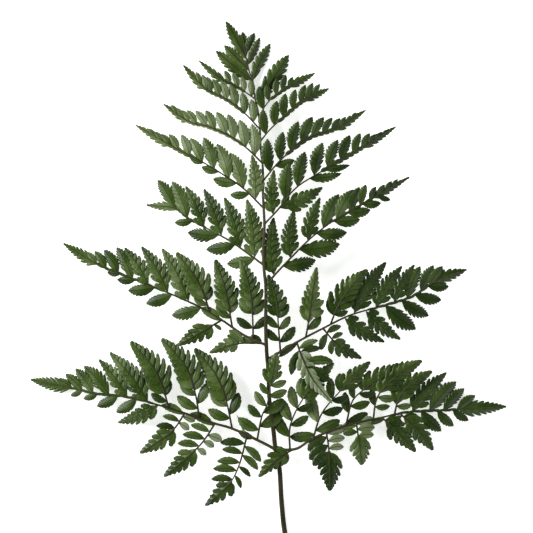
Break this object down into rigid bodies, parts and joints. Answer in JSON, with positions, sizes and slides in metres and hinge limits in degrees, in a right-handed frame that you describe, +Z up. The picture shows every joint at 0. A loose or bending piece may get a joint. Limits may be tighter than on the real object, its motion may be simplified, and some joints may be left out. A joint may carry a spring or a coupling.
{
  "type": "leatherleaf fern frond",
  "caption": "Cut triangular fern leaf with a bare stem, divided side branches and toothed leaflets, lying flat on its back face",
  "frame": {"origin": "on the table, below the middle of the frond's outline", "axes": "X runs across the blade, +Y points from the cut end of the stem to the tip, +Z is up, out of the leaf's upper face"},
  "size_m": [0.4294, 0.5, 0.029],
  "materials": {
    "leaf": "leathery leaf, waxy satin",
    "stem": "smooth green-brown stalk, satin"
  },
  "bodies": {
    "root": {"frond": "leaf"}
  },
  "joints": []
}
